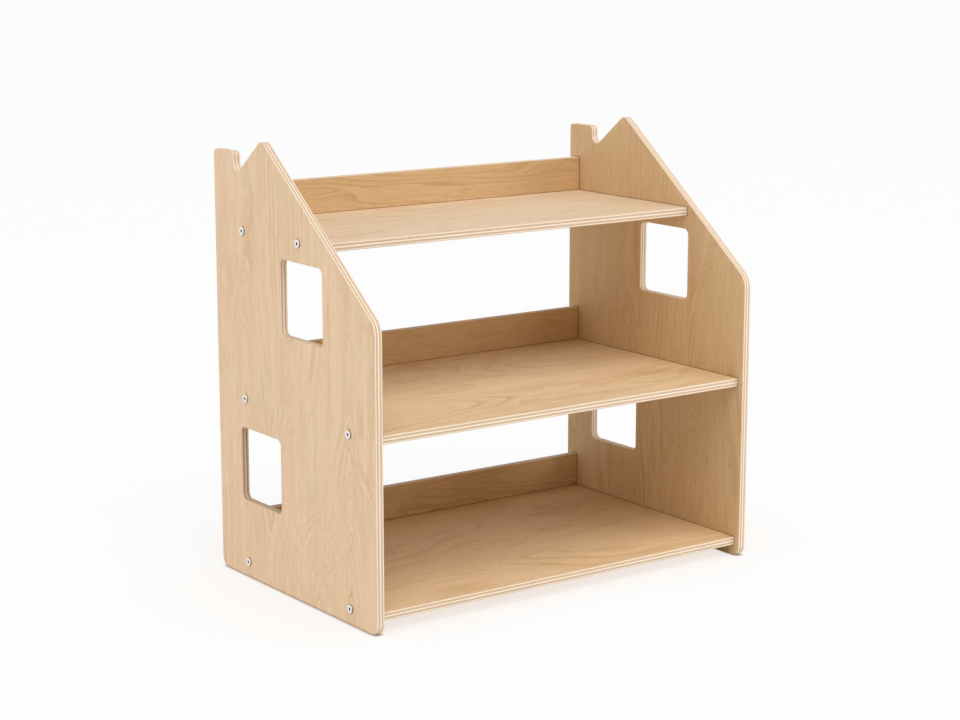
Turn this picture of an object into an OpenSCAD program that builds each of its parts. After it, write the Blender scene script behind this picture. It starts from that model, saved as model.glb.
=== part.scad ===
// Plywood toy shelf in the shape of a house. Two side panels cut to the outline of a house
// carry three shelves, and a low rail behind each shelf stops things from falling off.
// Connector screws, whose flat heads stand on the outer faces, pass through the side panels into
// the shelf ends. Countersunk screws pass through the rails into the rear edges of the shelves.
// X points right, the front faces -Y and Z points up. The origin is on the floor, in the
// middle of the width and of the depth. All sizes are in millimetres.

/* [Overall] */
// Width over the outsides of both side panels
shelf_w = 632; // [440:2:900]
// Depth of the side panels from front edge to rear edge
panel_d = 400; // [370:1:480]
// Thickness of the plywood of every board
ply = 12; // [10:0.5:18]
// Rounding of the shelves' front edges and of the rails' upper edges
edge_r = 1.2; // [0.5:0.1:3]

/* [House outline] */
// Height of the corner where the front edge meets the roof
eaves_h = 404; // [370:1:440]
// Slope of both roof sides above the horizontal, in degrees
roof_pitch = 37.7; // [32:0.1:42]
// Distance of the ridge behind the front edge
ridge_setback = 272; // [240:1:290]
// Depth of the chimney, which is flush with the rear edge
chimney_d = 53; // [40:1:60]
// Height of the chimney above the foot of the rear roof slope
chimney_rise = 36.5; // [25:0.5:60]
// Rounding of the two lower corners
foot_r = 15; // [5:1:30]
// Rounding where the front edge meets the roof
eaves_r = 26; // [10:1:40]
// Rounding of the ridge
ridge_r = 11; // [4:1:20]
// Rounding of the inner corner in front of the chimney
notch_r = 11; // [4:1:14]
// Rounding of the chimney's two upper corners
chimney_r = 6; // [2:0.5:12]

/* [Windows] */
// Width of each window, front to back
window_w = 106; // [60:1:120]
// Height of each window
window_h = 103; // [60:1:120]
// Rounding of the window corners
window_r = 9; // [4:1:20]
// Distance of the upper window's centre behind the front edge
upper_window_y = 176; // [160:1:200]
// Height of the upper window's lower edge above the middle shelf
upper_window_sill = 97; // [70:1:105]
// Distance of the lower window's centre behind the front edge
lower_window_y = 287.5; // [240:0.5:310]
// Height of the lower window's lower edge above the bottom shelf
lower_window_sill = 82; // [65:1:100]

/* [Shelves] */
// Free height below the bottom shelf
floor_gap = 16; // [8:1:40]
// Clear height between the bottom shelf and the middle shelf
lower_bay_h = 221; // [200:1:240]
// Clear height between the middle shelf and the top shelf
upper_bay_h = 220; // [200:1:240]
// Distance of the shelf fronts behind the front edge or the roof edge, at the shelf's upper face
front_inset = 9.5; // [4:0.5:20]

/* [Rails] */
// Height of each rail above the shelf in front of it
rail_rise = 50; // [30:1:60]
// Distance of the rails' rear faces from the panels' rear edges
rail_inset = 12; // [6:0.5:20]

/* [Connector screws] */
// Diameter of the connector screw's flat head
head_d = 12; // [10:0.5:15]
// Height of the head, which stands on the outer face of the side panel
head_h = 2.2; // [1.6:0.1:3]
// Bevel round the face of the head
head_bevel = 0.4; // [0.2:0.1:0.8]
// Outer diameter of the connector screw's shank and thread
shank_d = 6.3; // [5:0.1:7]
// Length of the connector screw below its head
connector_length = 50; // [40:1:70]
// Width across flats of the hexagon socket
hex_w = 4; // [3:0.5:5]
// Depth of the hexagon socket
hex_depth = 3; // [2.4:0.1:4]
// Distance of the front connector screws from the fronts of the bottom and middle shelves
connector_from_front = 53; // [35:1:70]
// Distance of the front connector screws from the front of the top shelf
top_connector_from_front = 56; // [35:1:70]
// Distance of the rear connector screws from the rear edges of the shelves
connector_from_rear = 51; // [35:1:70]

/* [Rail screws] */
// Diameter of the rail screw's head
rail_head_d = 8; // [6:0.5:9]
// Outer diameter of the rail screw's shank and thread
rail_shank_d = 4; // [3:0.5:4.5]
// Length of the rail screw with its head
rail_screw_length = 40; // [30:1:60]
// Depth of the rail screw's head below the rear face of the rail
rail_head_sink = 0.2; // [0.1:0.1:0.5]
// Distance of the outer rail screws from the ends of the rail
rail_screw_from_end = 79; // [50:1:150]
// Width of the cross recess in the rail screw's head
cross_slot_w = 1.2; // [0.8:0.1:1.6]
// Span of the cross recess
cross_slot_span = 4.6; // [3:0.1:5]
// Depth of the cross recess
cross_slot_depth = 1.8; // [1:0.1:2.5]

/* [Screw details] */
// Clearance around every screw in its hole
screw_play = 0.15; // [0.1:0.05:0.3]
// Distance from one thread crest to the next
thread_pitch = 2.5; // [2:0.5:4]
// Depth of the thread
thread_depth = 0.8; // [0.4:0.1:1]
// Length of the pointed tip
tip_length = 4; // [2:0.5:6]
// Free length of a pilot hole beyond the screw's tip
pilot_spare = 2; // [1:0.5:4]

/* [Hidden] */
$fn = 64;
SIDES = ["left", "right"];
LEVELS = ["bottom", "middle", "top"];
ENDS = ["front", "rear"];
RAIL_PLACES = ["left", "centre", "right"];

FACE_COLOUR = "#E2C29D";
SHELF_COLOUR = "#DFBE97";
RAIL_COLOUR = "#D2AC80";
STEEL_COLOUR = "#C9C8C4";
HEX_SIDES = 6;
// How far a cutter reaches past the face that it opens
OVERCUT = 1;
// Share by which a corner cutter reaches past the corner that it rounds
CORNER_REACH = 0.5;

front_y = -panel_d / 2;
rear_y = panel_d / 2;
inner_w = shelf_w - 2 * ply;
roof_slope = tan(roof_pitch);
ridge_y = front_y + ridge_setback;
ridge_h = eaves_h + ridge_setback * roof_slope;
chimney_y = rear_y - chimney_d;
notch_h = ridge_h - (chimney_y - ridge_y) * roof_slope;
chimney_h = notch_h + chimney_rise;

// Underside of each shelf, from the bottom one to the top one
shelf_z = [
    floor_gap,
    floor_gap + ply + lower_bay_h,
    floor_gap + 2 * ply + lower_bay_h + upper_bay_h
];
rail_h = ply + rail_rise;
rail_rear_y = rear_y - rail_inset;
shelf_rear_y = rail_rear_y - ply;

// Front edge of a shelf: set back from the front edge, or from the roof where that is lower
function shelf_front_y(level) =
    front_y + front_inset + max(0, shelf_z[level] + ply - eaves_h) / roof_slope;

// Places of the two connector screws along the depth of a shelf
function connector_y(level) = [
    shelf_front_y(level) + (level == 2 ? top_connector_from_front : connector_from_front),
    shelf_rear_y - connector_from_rear
];
function board_middle_z(level) = shelf_z[level] + ply / 2;
rail_screw_x = [for (place = [-1, 0, 1]) place * (inner_w / 2 - rail_screw_from_end)];

window_centres = [
    [front_y + upper_window_y, shelf_z[1] + ply + upper_window_sill + window_h / 2],
    [front_y + lower_window_y, shelf_z[0] + ply + lower_window_sill + window_h / 2]
];

house_points = [
    [front_y, 0], [rear_y, 0], [rear_y, chimney_h], [chimney_y, chimney_h],
    [chimney_y, notch_h], [ridge_y, ridge_h], [front_y, eaves_h]
];
house_radii = [foot_r, foot_r, chimney_r, chimney_r, notch_r, ridge_r, eaves_r];

function unit(v) = v / norm(v);
function is_hollow_corner(before, corner, after) = cross(corner - before, after - corner) < 0;

// Area between a corner and the arc that rounds it. The arc touches both sides, and the
// area runs a little past the corner so that it cuts or fills cleanly.
module corner_area(before, corner, after, radius) {
    to_before = unit(before - corner);
    to_after = unit(after - corner);
    half_angle = acos(to_before * to_after) / 2;
    touch = radius / tan(half_angle);
    centre = corner + unit(to_before + to_after) * radius / sin(half_angle);
    difference() {
        polygon([
            corner + (corner - centre) * CORNER_REACH,
            corner + to_before * touch, centre, corner + to_after * touch
        ]);
        translate(centre) circle(r = radius);
    }
}

// Outline with each corner rounded by its own radius, where zero leaves it sharp: hollow
// corners are filled and the others are cut
module rounded_outline(points, radii) {
    count = len(points);
    function before(i) = points[(i + count - 1) % count];
    function after(i) = points[(i + 1) % count];
    rounded = [for (i = [0 : count - 1]) if (radii[i] > 0) i];
    difference() {
        union() {
            polygon(points);
            for (i = rounded)
                if (is_hollow_corner(before(i), points[i], after(i)))
                    corner_area(before(i), points[i], after(i), radii[i]);
        }
        for (i = rounded)
            if (!is_hollow_corner(before(i), points[i], after(i)))
                corner_area(before(i), points[i], after(i), radii[i]);
    }
}

// Board of the full inner width, from a section whose points give depth and height
module board(points, radii) {
    translate([-inner_w / 2, 0, 0]) rotate([90, 0, 90]) linear_extrude(inner_w)
        rounded_outline(points, radii);
}

module window_outline(centre) {
    w = window_w / 2;
    h = window_h / 2;
    rounded_outline([for (p = [[-w, -h], [w, -h], [w, h], [-w, h]]) centre + p],
                    [window_r, window_r, window_r, window_r]);
}

// Half section of a screw that points down from height zero: the head's points, then a smooth
// neck through the board, thread and tip
function screw_section(head_points, shank, neck, length) = let (
    shank_r = shank / 2,
    core_r = shank_r - thread_depth,
    turns = floor((length - neck - tip_length) / thread_pitch)
) concat(
    head_points, [[shank_r, -neck]],
    [for (i = [0 : turns - 1], step = [[core_r, 0.25], [shank_r, 0.75]])
        [step[0], -neck - (i + step[1]) * thread_pitch]],
    [[core_r, -neck - turns * thread_pitch], [core_r, tip_length - length], [0, -length]]
);

// Hole through a board, which points down from height zero, for a screw's neck
module clearance_hole(shank) {
    translate([0, 0, -ply - OVERCUT]) cylinder(d = shank + 2 * screw_play, h = ply + 2 * OVERCUT);
}

// Hole through a rail, whose rear face is at height zero: clearance hole with a countersink
// of 90 degrees
module countersunk_hole() {
    rim_r = rail_head_d / 2 + screw_play;
    clearance_hole(rail_shank_d);
    rotate_extrude() polygon([
        [0, OVERCUT], [rim_r, OVERCUT], [rim_r, -rail_head_sink], [0, -rail_head_sink - rim_r]
    ]);
}

// Blind hole in the edge of a shelf, which points down from height zero, for the part of a
// screw that reaches so far into the shelf
module pilot_hole(shank, reach) {
    depth = reach + pilot_spare;
    translate([0, 0, -depth]) cylinder(d = shank + 2 * screw_play, h = depth + OVERCUT);
}

// Turns something that points down so that it points right, from the left side
module pointing_right() { rotate([0, -90, 0]) children(); }
// Turns something that points down so that it points to the front, from behind
module pointing_forward() { rotate([-90, 0, 0]) children(); }

module at_side(side) {
    if (side == 0) children();
    else mirror([1, 0, 0]) children();
}

// Left side panel, or its mirror image on the right: house outline, two windows and the
// holes for six connector screws
module side_panel(side) {
    color(FACE_COLOUR) at_side(side) difference() {
        translate([-shelf_w / 2, 0, 0]) rotate([90, 0, 90]) linear_extrude(ply) difference() {
            rounded_outline(house_points, house_radii);
            for (centre = window_centres) window_outline(centre);
        }
        for (level = [0 : 2], y = connector_y(level))
            translate([-shelf_w / 2, y, board_middle_z(level)])
                pointing_right() clearance_hole(shank_d);
    }
}

// Shelf board with pilot holes in both ends for the connector screws and in its rear edge
// for the rail screws
module shelf(level) {
    front = shelf_front_y(level);
    low = shelf_z[level];
    color(SHELF_COLOUR) difference() {
        board([[front, low], [shelf_rear_y, low], [shelf_rear_y, low + ply], [front, low + ply]],
              [edge_r, 0, 0, edge_r]);
        for (side = [0, 1], y = connector_y(level))
            at_side(side) translate([-inner_w / 2, y, board_middle_z(level)])
                pointing_right() pilot_hole(shank_d, connector_length - ply);
        for (x = rail_screw_x)
            translate([x, shelf_rear_y, board_middle_z(level)])
                pointing_forward()
                    pilot_hole(rail_shank_d, rail_screw_length + rail_head_sink - ply);
    }
}

// Rail behind a shelf: level with the shelf's underside, with countersunk holes in its rear face
module rail(level) {
    low = shelf_z[level];
    color(RAIL_COLOUR) difference() {
        board([[shelf_rear_y, low], [rail_rear_y, low],
               [rail_rear_y, low + rail_h], [shelf_rear_y, low + rail_h]],
              [0, 0, edge_r, edge_r]);
        for (x = rail_screw_x)
            translate([x, rail_rear_y, board_middle_z(level)])
                pointing_forward() countersunk_hole();
    }
}

// Connector screw with a hexagon socket in its flat head
module connector_screw(side, level, end) {
    head_r = head_d / 2;
    head_points = [
        [0, head_h], [head_r - head_bevel, head_h], [head_r, head_h - head_bevel],
        [head_r, 0], [shank_d / 2, 0]
    ];
    color(STEEL_COLOUR) at_side(side)
        translate([-shelf_w / 2, connector_y(level)[end], board_middle_z(level)])
            pointing_right() difference() {
                rotate_extrude()
                    polygon(screw_section(head_points, shank_d, ply, connector_length));
                translate([0, 0, head_h - hex_depth])
                    cylinder(d = hex_w / cos(180 / HEX_SIDES), h = hex_depth + OVERCUT,
                             $fn = HEX_SIDES);
            }
}

// Countersunk wood screw with a cross recess
module rail_screw(level, place) {
    head_r = rail_head_d / 2;
    shank_r = rail_shank_d / 2;
    head_points = [[0, 0], [head_r, 0], [shank_r, shank_r - head_r]];
    color(STEEL_COLOUR)
        translate([rail_screw_x[place], rail_rear_y - rail_head_sink, board_middle_z(level)])
            pointing_forward() difference() {
                rotate_extrude()
                    polygon(screw_section(head_points, rail_shank_d, ply, rail_screw_length));
                for (turn = [0, 90])
                    rotate([0, 0, turn])
                        translate([-cross_slot_span / 2, -cross_slot_w / 2, -cross_slot_depth])
                            cube([cross_slot_span, cross_slot_w, cross_slot_depth + OVERCUT]);
            }
}

for (side = [0, 1])
    side_panel(side);
for (level = [0 : 2]) {
    shelf(level);
    rail(level);
    for (side = [0, 1], end = [0, 1])
        connector_screw(side, level, end);
    for (place = [0 : 2])
        rail_screw(level, place);
}
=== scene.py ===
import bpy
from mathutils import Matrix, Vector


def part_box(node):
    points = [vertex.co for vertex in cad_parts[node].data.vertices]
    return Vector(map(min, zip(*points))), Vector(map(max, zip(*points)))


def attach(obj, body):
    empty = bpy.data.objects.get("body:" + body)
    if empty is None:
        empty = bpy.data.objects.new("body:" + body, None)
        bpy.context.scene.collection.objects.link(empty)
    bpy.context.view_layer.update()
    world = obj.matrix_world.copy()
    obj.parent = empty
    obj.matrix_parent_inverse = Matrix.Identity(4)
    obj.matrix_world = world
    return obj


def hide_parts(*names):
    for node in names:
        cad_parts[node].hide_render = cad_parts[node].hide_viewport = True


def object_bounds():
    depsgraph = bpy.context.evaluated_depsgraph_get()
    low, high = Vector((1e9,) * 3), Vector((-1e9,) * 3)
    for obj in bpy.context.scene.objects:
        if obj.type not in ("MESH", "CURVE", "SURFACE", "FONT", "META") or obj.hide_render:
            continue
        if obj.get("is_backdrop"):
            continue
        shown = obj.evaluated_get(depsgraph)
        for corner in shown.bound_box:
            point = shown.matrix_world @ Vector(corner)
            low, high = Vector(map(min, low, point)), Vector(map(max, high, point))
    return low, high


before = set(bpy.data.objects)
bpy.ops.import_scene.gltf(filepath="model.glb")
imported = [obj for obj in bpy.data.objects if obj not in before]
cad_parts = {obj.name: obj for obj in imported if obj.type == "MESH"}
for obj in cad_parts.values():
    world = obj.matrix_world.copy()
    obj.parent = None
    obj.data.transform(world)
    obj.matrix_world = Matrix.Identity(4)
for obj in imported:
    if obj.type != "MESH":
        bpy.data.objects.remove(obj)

import inspect
import itertools
import math

import bpy
import numpy as np
from mathutils import Matrix, Vector
from mathutils.geometry import tessellate_polygon

bpy.context.view_layer.update()
CAD_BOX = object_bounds()

bl_info = {
    "name": "House Toy Shelf",
    "version": (1, 0, 0),
    "blender": (4, 5, 0),
    "location": "3D View > Sidebar > Toy Shelf",
    "description": "Finishes a plywood toy shelf in the shape of a house and lights it in a studio",
    "category": "Object",
}

BODY = "root"
SIDES = ("left", "right")
LEVELS = ("bottom", "middle", "top")
ENDS = ("front", "rear")
RAIL_PLACES = ("left", "centre", "right")
FULL_TURN = 2 * math.pi
ORIGIN = (0.0, 0.0, 0.0)
WHITE = (1.0, 1.0, 1.0)

# Axes of each kind of board as rows: across the grain, along the grain, through the thickness
PANEL_AXES = Matrix(((0, 1, 0), (0, 0, 1), (1, 0, 0)))
SHELF_AXES = Matrix(((0, -1, 0), (1, 0, 0), (0, 0, 1)))
RAIL_AXES = Matrix(((0, 0, 1), (1, 0, 0), (0, 1, 0)))

# Axes of the screws as rows: two axes in the plane of the head, then the way the screw points
POINTS_INWARD = {
    "left": Matrix(((0, 1, 0), (0, 0, 1), (1, 0, 0))),
    "right": Matrix(((0, -1, 0), (0, 0, 1), (-1, 0, 0))),
}
POINTS_FORWARD = Matrix(((1, 0, 0), (0, 0, 1), (0, -1, 0)))

# Figure of each board: the seed of its growth lines, the scale that spreads them across it (a
# small one spreads them wide), the tones of its faces at the low and at the high end of its
# thickness, and its arches. The tones are painted light and shade: faces inside the bays, the
# shelves' undersides and the rails' fronts are darker and warmer, and the top shelf's upper face
# is lighter. An arch has the place of its tip across and along the board from the board's middle,
# its half width, the length over which most of its rings follow each other behind the tip, and
# the number of rings. Where the length is negative, the tip points down the grain.
# Painted shade: tones for the faces inside the bays, the shelves' undersides and the rail fronts
SHADED, UNDERSIDE = (0.950, 0.905, 0.750), (0.950, 0.900, 0.760)
RAIL_TONES = ((0.880, 0.790, 0.610), (0.980, 0.950, 0.870))
FIGURES = {
    "side_panel_left": (1.0, 1.0, (WHITE, SHADED), (
        (0.125, 0.150, 0.021, 0.110, 12.0), (-0.138, -0.020, 0.022, 0.100, 6.0),
        (-0.146, -0.105, 0.036, 0.055, 9.0), (-0.055, -0.160, 0.034, 0.055, 7.0),
        (0.000, -0.090, 0.022, -0.080, 7.0), (0.020, 0.060, 0.022, 0.130, 5.0))),
    "side_panel_right": (2.0, 1.0, (SHADED, WHITE), (
        (-0.128, 0.135, 0.021, 0.110, 13.0), (0.060, 0.060, 0.022, 0.120, 8.0),
        (-0.090, -0.060, 0.020, 0.090, 9.0), (0.010, -0.140, 0.018, -0.090, 6.0))),
    "shelf_bottom": (11.0, 0.45, (UNDERSIDE, (0.960, 0.915, 0.785)), (
        (-0.080, 0.060, 0.045, 0.200, 5.0), (0.085, -0.110, 0.050, -0.250, 6.0))),
    "shelf_middle": (12.0, 0.45, (UNDERSIDE, (0.985, 0.955, 0.850)), (
        (0.090, 0.020, 0.045, 0.250, 6.0), (-0.080, -0.040, 0.040, -0.200, 5.0))),
    "shelf_top": (13.0, 0.45, ((0.970, 0.940, 0.830), (1.020, 1.030, 1.050)), (
        (0.020, 0.100, 0.040, 0.250, 6.0), (-0.050, -0.060, 0.035, -0.200, 4.0))),
    "rail_bottom": (21.0, 0.7, RAIL_TONES, ((0.010, -0.050, 0.018, -0.200, 6.0),)),
    "rail_middle": (22.0, 0.7, RAIL_TONES, ((-0.015, 0.120, 0.020, 0.200, 6.0),)),
    "rail_top": (23.0, 0.7, RAIL_TONES, (
        (-0.008, -0.170, 0.018, -0.220, 6.0), (0.012, 0.120, 0.016, 0.200, 5.0))),
}

# Distance in metres within which two patches share a point
WELD_STEP = 1e-7
# Points from a board's face to the end of its eased edge, and steps round a bore
EASE_POINTS, BORE_STEPS = 5, 48
# Mesh attributes: the share of unsanded colour and painted shade on the edges inside the
# windows, and the coordinates of a point on a screw, from the middle of its head's face
ROUTED, TURNED = "routed", "turned"
# Share of unsanded colour inside the upper and the lower window of each panel; the larger
# shares of the lower windows are painted shade, as they lie deeper in the bays
REVEALS = {"left": (0.4, 1.15), "right": (0.0, 0.2)}
# Steps of the thread in a pitch, half the width of its crest as a share of the pitch, and the
# share of the tip's length at which it has the same share of the core's radius
THREAD_STEPS, CREST_SHARE, TIP_SHARE = 8, 0.36, 0.55
# Share of a bevel that is left at the middle of its rounding, and the share of the hexagon
# socket's width at which its floor turns up into the wall
BEVEL_SHARE, SOCKET_FLOOR = 0.3, 0.9
# Shares of the cross recess's width and depth where its slots narrow
CROSS_TAPER = ((0.45, 0.9), (0.9, 0.35))
# Angle above which two faces of a screw meet in a sharp edge, and the turn from one screw to
# the next in radians, so that no two recesses lie alike
SHARP_ANGLE, GOLDEN_TURN = math.radians(30.0), 2.39996

# Noises along the grain, as the rate per metre across it, the share of that rate along it, the
# detail and the roughness. First the fibres, with the values between which each mask goes from
# nothing to full: streaks 1.6 mm wide and 65 mm long, short fibres 2.6 mm and 19 mm, bands
# 12 mm and 150 mm, flecks 1.4 mm and 8 mm, and the drift of the colour, 60 mm and 400 mm
FIBRES = {
    "Streak": ((620.0, 0.025, 3.0, 0.65), (0.62, 0.30)),
    "Short": ((380.0, 0.14, 3.0, 0.70), (0.60, 0.34)),
    "Band": ((85.0, 0.08, 3.0, 0.60), (0.38, 0.62)),
    "Fleck": ((700.0, 0.17, 1.0, 0.50), (0.58, 0.72)),
    "Drift": ((16.0, 0.15, 2.0, 0.50), (0.35, 0.80)),
}
# Then those of the growth lines: a broad and a narrow figure, a ripple, and strong patches
BROAD, NARROW = (18.0, 0.05, 1.0, 0.4), (30.0, 0.18, 1.0, 0.5)
RIPPLE, PATCHES = (130.0, 0.12, 2.0, 0.5), (24.0, 0.15, 2.0, 0.5)
# Spread and middle of the tint of a whole ring, and the shift of the rings from veneer to veneer
RING_TINT, MEAN_TINT, RING_SHIFT = 0.10, 0.05, 1.9
# Strengths on a board's edges: end grain, cross veneers, streaks, unsanded wood with painted
# shade inside the windows, more of it in the cross veneers, and glue lines
END_SHADE, CROSS_SHADE, STREAK_SHADE = 0.12, 0.80, 0.80
RAW_SHADE, RAW_CROSS, GLUE_SHADE = 0.30, 0.30, 0.85
# Roughness that streaks and edges add, and the relief of growth lines and glue lines
STREAK_ROUGHNESS, EDGE_ROUGHNESS, LINE_RELIEF, GLUE_RELIEF = 0.16, 0.12, -0.25, -0.8
# Steel: what the dull patches, the shaded parts and the turning marks add to its roughness, and
# what is taken off for them
DULL_ROUGHNESS, SHADE_ROUGHNESS, MARK_ROUGHNESS, POLISH = 0.15, 0.15, 0.08, 0.05
# Box under the shelf that stands for the floor, along which the boards' feet get a line of
# painted contact shade
GROUND = (Vector((-1.0, -1.0, -2.0)), Vector((1.0, 1.0, 0.0)))
# Rate per metre of the paper's tooth, and samples of the soft shade
TOOTH_RATE, SHADE_SAMPLES = 900.0, 8
# Rows in which the nodes are laid out, and the step between them
NODE_ROWS, NODE_STEP = 6, 190


# Settings


def number(name, default, description, low=0.0, **more):
    return bpy.props.FloatProperty(name=name, description=description, default=default, min=low,
                                   **more)


def length(name, default, description):
    return number(name, default, description, subtype="DISTANCE", unit="LENGTH", precision=4)


def share(name, default, description):
    return number(name, default, description, max=1.0, subtype="FACTOR")


def angle(name, default, description):
    return number(name, math.radians(default), description, low=-FULL_TURN, subtype="ANGLE",
                  unit="ROTATION")


def count(name, default, description, low, high, step=1):
    return bpy.props.IntProperty(name=name, description=description, default=default, min=low,
                                 max=high, step=step)


def colour(name, default, description):
    return bpy.props.FloatVectorProperty(name=name, description=description, default=default,
                                         size=3, min=0.0, max=1.0, subtype="COLOR")


def spot(name, default, description):
    return bpy.props.FloatVectorProperty(name=name, description=description, default=default,
                                         size=3, subtype="TRANSLATION", unit="LENGTH")


def part(kind, name, description):
    return bpy.props.PointerProperty(type=kind, name=name, description=description)


class HouseOutline(bpy.types.PropertyGroup):
    """Sizes of the side panels: the house outline, its windows and its edges."""

    eaves_height: length("Eaves height", 0.404, "Height where the front edge meets the roof")
    roof_pitch: angle("Roof pitch", 37.7, "Slope of both roof sides above the horizontal")
    ridge_setback: length("Ridge setback", 0.272, "Distance of the ridge behind the front edge")
    chimney_depth: length("Chimney depth", 0.053, "Depth of the chimney, front to back")
    chimney_rise: length("Chimney rise", 0.0365, "Height of the chimney above the notch")
    foot_radius: length("Foot radius", 0.015, "Rounding of the two lower corners")
    eaves_radius: length("Eaves radius", 0.026, "Rounding where the front edge meets the roof")
    ridge_radius: length("Ridge radius", 0.011, "Rounding of the ridge")
    notch_radius: length("Notch radius", 0.011, "Rounding of the corner before the chimney")
    chimney_radius: length("Chimney radius", 0.006, "Rounding of the chimney's upper corners")
    window_width: length("Window width", 0.106, "Width of each window, front to back")
    window_height: length("Window height", 0.103, "Height of each window")
    window_radius: length("Window radius", 0.009, "Rounding of the window corners")
    upper_window_setback: length("Upper window", 0.176, "Middle of the window from the front")
    upper_window_sill: length("Upper sill", 0.097, "Sill above the middle shelf")
    lower_window_setback: length("Lower window", 0.2875, "Middle of the window from the front")
    lower_window_sill: length("Lower sill", 0.082, "Sill above the bottom shelf")
    edge_radius: length("Edge rounding", 0.0012, "Sanded rounding along every edge")
    arc_steps: count("Arc steps", 9, "Straight steps in each rounded corner", 2, 64)


class ScrewSizes(bpy.types.PropertyGroup):
    """Sizes of the connector screws and the rail screws. Their lengths and the diameters of
    their heads come from the frame."""

    play: length("Play", 0.00015, "Clearance around a screw in its hole")
    head_bevel: length("Head bevel", 0.0004, "Bevel round the face of the connector's head")
    shank: length("Shank", 0.0063, "Diameter of the connector screw's shank")
    socket_width: length("Socket width", 0.004, "Width across flats of the hexagon socket")
    socket_depth: length("Socket depth", 0.003, "Depth of the hexagon socket")
    cross_width: length("Cross width", 0.0012, "Width of the slots of the cross recess")
    cross_span: length("Cross span", 0.0046, "Span of the cross recess")
    cross_depth: length("Cross depth", 0.0018, "Depth of the cross recess")
    rail_shank: length("Rail screw shank", 0.004, "Diameter of the rail screw's shank")
    rim: length("Rim", 0.00012, "Rounding of the rims of the recesses and of the rail screw")
    thread_pitch: length("Thread pitch", 0.0025, "Distance from one thread crest to the next")
    thread_depth: length("Thread depth", 0.0008, "Depth of the thread")
    tip: length("Tip", 0.004, "Length of the pointed tip")
    segments: count("Segments", 48, "Steps round each screw, a multiple of 24", 24, 96, 24)


class PlywoodFinish(bpy.types.PropertyGroup):
    """Colours and grain of the birch plywood."""

    plies: count("Plies", 5, "Number of veneers in a board", 3, 13)
    cross_share: share("Cross veneers", 0.72, "Thickness of the cross veneers, as a share")
    light: colour("Early wood", (0.790, 0.600, 0.420), "Pale wood between the growth lines")
    dark: colour("Late wood", (0.590, 0.385, 0.215), "Wood in the growth lines")
    rose: colour("Rose tint", (0.812, 0.594, 0.428), "Pinkish bands of the veneer")
    straw: colour("Straw tint", (0.744, 0.575, 0.372), "Yellowish bands of the veneer")
    side_grain: colour("Side grain", (0.890, 0.765, 0.605), "Edge of the veneers along the face")
    end_grain: colour("End grain", (0.660, 0.470, 0.320), "Edge of the veneers across it")
    glue: colour("Glue line", (0.330, 0.145, 0.060), "Line between two veneers")
    glue_width: length("Glue width", 0.00025, "Width of the line between two veneers")
    # Unsanded wood inside the windows, laid on more heavily in the lower windows as painted shade
    routed: colour("Routed edge", (0.340, 0.205, 0.105), "Unsanded wood inside the windows")
    # Painted shade: a darker line on the rounding of every eased edge, top and bottom alike
    rubbed: share("Rubbed edges", 0.42, "Strength of the darker line on the sanded edges")
    # Painted contact shade: the dark line where two boards meet and where a board stands on the
    # floor
    joint: colour("Joint", (0.130, 0.055, 0.018), "Line where two boards meet")
    joint_width: length("Joint width", 0.0014, "Reach of the dark line where two boards meet")
    joint_strength: share("Joint strength", 0.60, "Strength of the line where two boards meet")
    foot_width: length("Foot line", 0.0022, "Reach of the dark line where a board stands")
    ring_strength: share("Growth lines", 0.66, "Strength of the growth lines")
    streak_strength: share("Streaks", 0.20, "Strength of the fine streaks along the grain")
    short_strength: share("Short fibres", 0.27, "Strength of the short fibres")
    fleck_strength: share("Flecks", 0.28, "Strength of the short dark flecks")
    wander: number("Wander", 6.0, "Number of rings by which the broad figure wanders")
    roughness: share("Roughness", 0.54, "Roughness of the oiled face")
    relief: length("Relief", 0.00012, "Height of the open grain")


class SteelFinish(bpy.types.PropertyGroup):
    """Finish of the zinc-plated screws."""

    bright: colour("Bright zinc", (0.84, 0.82, 0.785), "Plating that catches the light")
    dull: colour("Dull zinc", (0.68, 0.665, 0.635), "Plating dulled by handling")
    deep: colour("Shaded zinc", (0.27, 0.245, 0.215), "Plating below the head's face")
    roughness: share("Roughness", 0.30, "Roughness of the plating")
    groove_rate: number("Turning marks", 5200.0, "Turning marks per metre of radius")
    relief: length("Relief", 0.00001, "Depth of the turning marks")


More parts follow.
